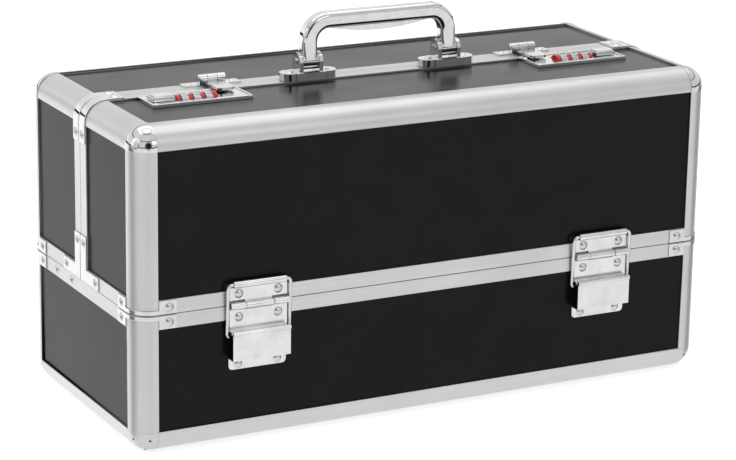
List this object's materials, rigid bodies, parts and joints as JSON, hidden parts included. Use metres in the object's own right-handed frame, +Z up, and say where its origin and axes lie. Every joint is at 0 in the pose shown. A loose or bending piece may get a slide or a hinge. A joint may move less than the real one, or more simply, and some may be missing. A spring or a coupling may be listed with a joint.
{
  "type": "sewing box with trays",
  "caption": "Carrying case whose two lids open outwards on stop hinges, with combination locks, swing handle and cantilever trays that rise with the lids.",
  "frame": {"origin": "centre of the case's underside", "axes": "+X along the case, +Z up, the front face is at -Y, the trays swing to +Y"},
  "size_m": [0.4646, 0.2124, 0.28],
  "materials": {
    "black_laminate": "smooth black laminate over board, semi-gloss",
    "satin_aluminium": "satin extruded aluminium with fine draw lines",
    "polished_chrome": "polished plate",
    "zinc_steel": "bright zinc-plated sheet steel",
    "nickel_rivet": "nickel-plated domed head",
    "red_plastic": "glossy red",
    "housing_plastic": "matt black moulding",
    "tray_plastic": "textured dark grey moulding",
    "dial_metal": "knurled plated dial"
  },
  "bodies": {
    "base": {"base_floor": "black_laminate", "base_walls": "black_laminate", "base_frame": "satin_aluminium", "base_corner_caps": "satin_aluminium", "base_rim": "satin_aluminium", "base_corner_sheets": "polished_chrome", "base_rivets": "nickel_rivet", "front_lower_leaves": "zinc_steel", "rear_lower_leaves": "zinc_steel", "tray_brackets": "zinc_steel"},
    "front_lid": {"front_lid_top": "black_laminate", "front_lid_walls": "black_laminate", "front_lid_frame": "satin_aluminium", "front_lid_caps": "polished_chrome", "front_lid_rim": "satin_aluminium", "front_lid_corner_sheets": "polished_chrome", "front_lid_split_sheets": "polished_chrome", "front_lid_rivets": "nickel_rivet", "front_upper_leaves": "zinc_steel", "front_hinge_pins": "polished_chrome", "lock_plates": "polished_chrome", "lock_housings": "housing_plastic", "lock_spacers": "red_plastic"},
    "rear_lid": {"rear_lid_top": "black_laminate", "rear_lid_walls": "black_laminate", "rear_lid_frame": "satin_aluminium", "rear_lid_caps": "polished_chrome", "rear_lid_rim": "satin_aluminium", "rear_lid_corner_sheets": "polished_chrome", "rear_lid_split_sheets": "polished_chrome", "rear_lid_rivets": "nickel_rivet", "rear_upper_leaves": "zinc_steel", "rear_hinge_pins": "polished_chrome", "hasp_bases": "polished_chrome", "handle_brackets": "polished_chrome", "handle_pins": "polished_chrome"},
    "front_bail": {"front_bails": "polished_chrome"},
    "rear_bail": {"rear_bails": "polished_chrome"},
    "handle": {"handle": "polished_chrome"},
    "left_hasp": {"left_hasp": "polished_chrome"},
    "right_hasp": {"right_hasp": "polished_chrome"},
    "left_release": {"left_release": "polished_chrome"},
    "right_release": {"right_release": "polished_chrome"},
    "left_dial_1": {"left_dial_1": "dial_metal"},
    "left_dial_2": {"left_dial_2": "dial_metal"},
    "left_dial_3": {"left_dial_3": "dial_metal"},
    "right_dial_1": {"right_dial_1": "dial_metal"},
    "right_dial_2": {"right_dial_2": "dial_metal"},
    "right_dial_3": {"right_dial_3": "dial_metal"},
    "front_arms": {"front_arms": "zinc_steel"},
    "rear_arms": {"rear_arms": "zinc_steel"},
    "lower_tray": {"lower_tray": "tray_plastic", "lower_tray_dividers": "tray_plastic", "lower_tray_pins": "polished_chrome"},
    "upper_tray": {"upper_tray": "tray_plastic", "upper_tray_dividers": "tray_plastic", "upper_tray_pins": "polished_chrome"}
  },
  "joints": [
    {"name": "rear_lid_hinge", "type": "hinge", "parent": "base", "child": "rear_lid", "pos_m": [0, 0.1005, 0.101], "axis": [-1, 0, 0], "range_deg": [0, 95]},
    {"name": "front_lid_hinge", "type": "hinge", "parent": "base", "child": "front_lid", "pos_m": [0, -0.1005, 0.101], "axis": [1, 0, 0], "range_deg": [0, 95.5]},
    {"name": "front_bail_hinge", "type": "hinge", "parent": "front_lid", "child": "front_bail", "pos_m": [0, -0.1005, 0.1165], "axis": [1, 0, 0], "range_deg": [-71.5, 0]},
    {"name": "rear_bail_hinge", "type": "hinge", "parent": "rear_lid", "child": "rear_bail", "pos_m": [0, 0.1005, 0.1165], "axis": [-1, 0, 0], "range_deg": [-71.5, 0]},
    {"name": "handle_hinge", "type": "hinge", "parent": "rear_lid", "child": "handle", "pos_m": [0, -0.006, 0.245], "axis": [1, 0, 0], "range_deg": [-86, 86]},
    {"name": "left_hasp_hinge", "type": "hinge", "parent": "rear_lid", "child": "left_hasp", "pos_m": [-0.128, 0.004, 0.2371], "axis": [-1, 0, 0], "range_deg": [0, 110]},
    {"name": "right_hasp_hinge", "type": "hinge", "parent": "rear_lid", "child": "right_hasp", "pos_m": [0.128, 0.004, 0.2371], "axis": [-1, 0, 0], "range_deg": [0, 110]},
    {"name": "left_release_slide", "type": "slide", "parent": "front_lid", "child": "left_release", "axis": [-1, 0, 0], "range_m": [0, 0.002], "stiffness_N_per_m": 300, "springref_m": -0.001},
    {"name": "left_dial_1_turn", "type": "hinge", "parent": "front_lid", "child": "left_dial_1", "pos_m": [-0.1631, -0.026, 0.229], "axis": [1, 0, 0], "continuous": true},
    {"name": "left_dial_2_turn", "type": "hinge", "parent": "front_lid", "child": "left_dial_2", "pos_m": [-0.154, -0.026, 0.229], "axis": [1, 0, 0], "continuous": true},
    {"name": "left_dial_3_turn", "type": "hinge", "parent": "front_lid", "child": "left_dial_3", "pos_m": [-0.1449, -0.026, 0.229], "axis": [1, 0, 0], "continuous": true},
    {"name": "right_release_slide", "type": "slide", "parent": "front_lid", "child": "right_release", "axis": [1, 0, 0], "range_m": [0, 0.002], "stiffness_N_per_m": 300, "springref_m": -0.001},
    {"name": "right_dial_1_turn", "type": "hinge", "parent": "front_lid", "child": "right_dial_1", "pos_m": [0.1449, -0.026, 0.229], "axis": [1, 0, 0], "continuous": true},
    {"name": "right_dial_2_turn", "type": "hinge", "parent": "front_lid", "child": "right_dial_2", "pos_m": [0.154, -0.026, 0.229], "axis": [1, 0, 0], "continuous": true},
    {"name": "right_dial_3_turn", "type": "hinge", "parent": "front_lid", "child": "right_dial_3", "pos_m": [0.1631, -0.026, 0.229], "axis": [1, 0, 0], "continuous": true},
    {"name": "front_arm_hinge", "type": "hinge", "parent": "base", "child": "front_arms", "pos_m": [0, 0.02, 0.096], "axis": [-1, 0, 0], "range_deg": [0, 80.5]},
    {"name": "rear_arm_hinge", "type": "hinge", "parent": "base", "child": "rear_arms", "pos_m": [0, 0.048, 0.096], "axis": [-1, 0, 0], "range_deg": [0, 80.5]},
    {"name": "lower_tray_pivot", "type": "hinge", "parent": "front_arms", "child": "lower_tray", "pos_m": [0, 0.00393, 0.11515], "axis": [-1, 0, 0], "range_deg": [-80.5, 0]},
    {"name": "upper_tray_pivot", "type": "hinge", "parent": "front_arms", "child": "upper_tray", "pos_m": [0, -0.03464, 0.16111], "axis": [-1, 0, 0], "range_deg": [-80.5, 0]}
  ],
  "couplings": [
    {"joint": "front_lid_hinge", "follows": "rear_lid_hinge", "ratio": 1},
    {"joint": "front_bail_hinge", "follows": "rear_lid_hinge", "ratio": -0.744},
    {"joint": "rear_bail_hinge", "follows": "rear_lid_hinge", "ratio": -0.744},
    {"joint": "front_arm_hinge", "follows": "rear_lid_hinge", "ratio": 0.8421},
    {"joint": "rear_arm_hinge", "follows": "rear_lid_hinge", "ratio": 0.8421},
    {"joint": "lower_tray_pivot", "follows": "rear_lid_hinge", "ratio": -0.8421},
    {"joint": "upper_tray_pivot", "follows": "rear_lid_hinge", "ratio": -0.8421}
  ]
}
